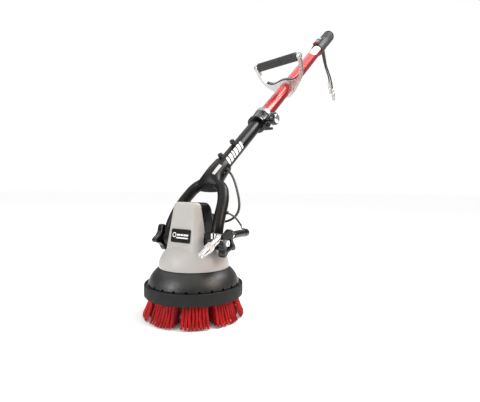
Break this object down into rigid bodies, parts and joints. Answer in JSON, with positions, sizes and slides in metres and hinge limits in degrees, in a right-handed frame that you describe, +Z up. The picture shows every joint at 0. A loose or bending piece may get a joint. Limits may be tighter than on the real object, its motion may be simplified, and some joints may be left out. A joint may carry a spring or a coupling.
{
  "type": "wet dry floor scrubber",
  "caption": "Long-handled powered floor scrubber: round bristle brush under a domed motor head, tilting fork, telescopic pole with loop handle and rear switch grip, and a water spray nozzle.",
  "frame": {"origin": "on the brush's spin axis, at the floor under the bristle tips", "axes": "+Z up along the brush's spin axis, +Y towards the side the pole leans to, +X to the operator's left as they hold the pole behind the head, the side with the spray nozzle"},
  "size_m": [0.2297, 1.015, 0.9343],
  "materials": {
    "housing_grey": "satin moulded plastic",
    "shell_black": "fine grained",
    "badge_black": "gloss",
    "rubber_black": "matt",
    "bristle_red": "crimped bristle",
    "block_black": "matt",
    "steel": "machined",
    "cast_weight": "painted",
    "gear_nylon": "natural nylon",
    "cast_alloy": "cast and tumbled",
    "yoke_black": "satin",
    "tube_black": "gloss black coat",
    "tube_red": "metallic red coat",
    "collar_black": "gloss",
    "silver": "satin",
    "chrome": "polished",
    "nickel": "nickel plated",
    "board_green": "coated",
    "button_red": "gloss",
    "button_blue": "gloss",
    "cable_black": "semi-gloss sheath",
    "hose_grey": "braided"
  },
  "bodies": {
    "head": {"motor_housing": "housing_grey", "rear_cover": "shell_black", "badge_plate": "badge_black", "splash_guard": "shell_black", "splash_band": "rubber_black", "deck_plate": "steel", "weight_ring": "cast_weight", "gearbox_case": "cast_alloy", "ring_gear": "steel", "output_bearings": "steel", "drive_motor": "steel", "control_board": "board_green", "pivot_brackets": "steel", "cable_gland": "rubber_black", "head_screws": "steel"},
    "brush": {"output_shaft": "steel", "planet_carrier": "steel", "drive_hub": "cast_alloy", "hub_fasteners": "steel", "brush_block": "block_black", "brush_tufts": "bristle_red"},
    "motor_rotor": {"sun_gear": "steel"},
    "planet_1": {"planet_gear_1": "gear_nylon"},
    "planet_2": {"planet_gear_2": "gear_nylon"},
    "planet_3": {"planet_gear_3": "gear_nylon"},
    "fork": {"fork_yoke": "yoke_black", "lower_tube": "tube_black", "fork_screws": "steel", "nozzle_bracket": "nickel", "inline_filter": "collar_black", "filter_fittings": "nickel", "hose_grommets": "rubber_black", "water_hose": "hose_grey", "power_cable": "cable_black"},
    "right_knob": {"right_knob": "collar_black"},
    "left_knob": {"left_knob": "collar_black"},
    "nozzle": {"nozzle_body": "nickel"},
    "nozzle_tip": {"nozzle_tip": "nickel"},
    "upper_pole": {"upper_tube": "tube_red", "guide_bush": "gear_nylon", "clamp_collar": "collar_black", "clamp_band": "silver", "loop_handle": "cast_alloy", "handle_bar": "steel", "handle_grip": "rubber_black", "handle_strip": "rubber_black", "switch_housing": "shell_black", "button_switches": "shell_black", "grip_sleeve": "rubber_black", "grip_end_cap": "shell_black", "lead_strain_relief": "cable_black", "water_lead": "cable_black", "power_lead": "cable_black", "water_connector": "nickel", "power_connector": "nickel"},
    "clamp_knob": {"clamp_knob": "collar_black", "clamp_knob_screw": "chrome"},
    "wing_screw": {"wing_screw": "collar_black"},
    "power_button": {"power_button": "button_red"},
    "water_button": {"water_button": "button_blue"}
  },
  "joints": [
    {"name": "brush_spin", "type": "hinge", "parent": "head", "child": "brush", "pos_m": [0, 0, 0.09], "axis": [0, 0, 1], "continuous": true},
    {"name": "motor_spin", "type": "hinge", "parent": "head", "child": "motor_rotor", "pos_m": [0, 0, 0.1275], "axis": [0, 0, 1], "continuous": true},
    {"name": "planet_1_spin", "type": "hinge", "parent": "brush", "child": "planet_1", "pos_m": [0.015, 0, 0.1275], "axis": [0, 0, 1], "continuous": true},
    {"name": "planet_2_spin", "type": "hinge", "parent": "brush", "child": "planet_2", "pos_m": [-0.0075, 0.01299, 0.1275], "axis": [0, 0, 1], "continuous": true},
    {"name": "planet_3_spin", "type": "hinge", "parent": "brush", "child": "planet_3", "pos_m": [-0.0075, -0.01299, 0.1275], "axis": [0, 0, 1], "continuous": true},
    {"name": "fork_tilt", "type": "hinge", "parent": "head", "child": "fork", "pos_m": [0, -0.005, 0.165], "axis": [1, 0, 0], "range_deg": [-30, 53], "deforming": ["power_cable"]},
    {"name": "pole_slide", "type": "slide", "parent": "fork", "child": "upper_pole", "axis": [0, 0.7986, 0.6018], "range_m": [-0.11, 0.32]},
    {"name": "right_knob_turn", "type": "hinge", "parent": "fork", "child": "right_knob", "pos_m": [0, -0.005, 0.165], "axis": [1, 0, 0], "range_deg": [-180, 180]},
    {"name": "left_knob_turn", "type": "hinge", "parent": "fork", "child": "left_knob", "pos_m": [0, -0.005, 0.165], "axis": [-1, 0, 0], "range_deg": [-180, 180]},
    {"name": "nozzle_tilt", "type": "hinge", "parent": "fork", "child": "nozzle", "pos_m": [0.106, -0.051, 0.184], "axis": [1, 0, 0], "range_deg": [-25, 25]},
    {"name": "nozzle_turn", "type": "hinge", "parent": "nozzle", "child": "nozzle_tip", "pos_m": [0.106, -0.051, 0.184], "axis": [0, -0.9135, -0.4067], "range_deg": [-90, 90]},
    {"name": "clamp_knob_turn", "type": "hinge", "parent": "upper_pole", "child": "clamp_knob", "pos_m": [0, 0.29869, 0.47708], "axis": [1, 0, 0], "range_deg": [-180, 180]},
    {"name": "wing_turn", "type": "hinge", "parent": "upper_pole", "child": "wing_screw", "pos_m": [0.018, 0.29869, 0.47708], "axis": [0, 0.6018, -0.7986], "range_deg": [-90, 90]},
    {"name": "power_press", "type": "slide", "parent": "upper_pole", "child": "power_button", "axis": [0, 0.6018, -0.7986], "range_m": [0, 0.0015], "stiffness_N_per_m": 1500, "springref_m": -0.0005},
    {"name": "water_press", "type": "slide", "parent": "upper_pole", "child": "water_button", "axis": [0, 0.6018, -0.7986], "range_m": [0, 0.0015], "stiffness_N_per_m": 1500, "springref_m": -0.0005}
  ],
  "couplings": [
    {"joint": "motor_spin", "follows": "brush_spin", "ratio": 4},
    {"joint": "planet_1_spin", "follows": "brush_spin", "ratio": -3},
    {"joint": "planet_2_spin", "follows": "brush_spin", "ratio": -3},
    {"joint": "planet_3_spin", "follows": "brush_spin", "ratio": -3}
  ]
}
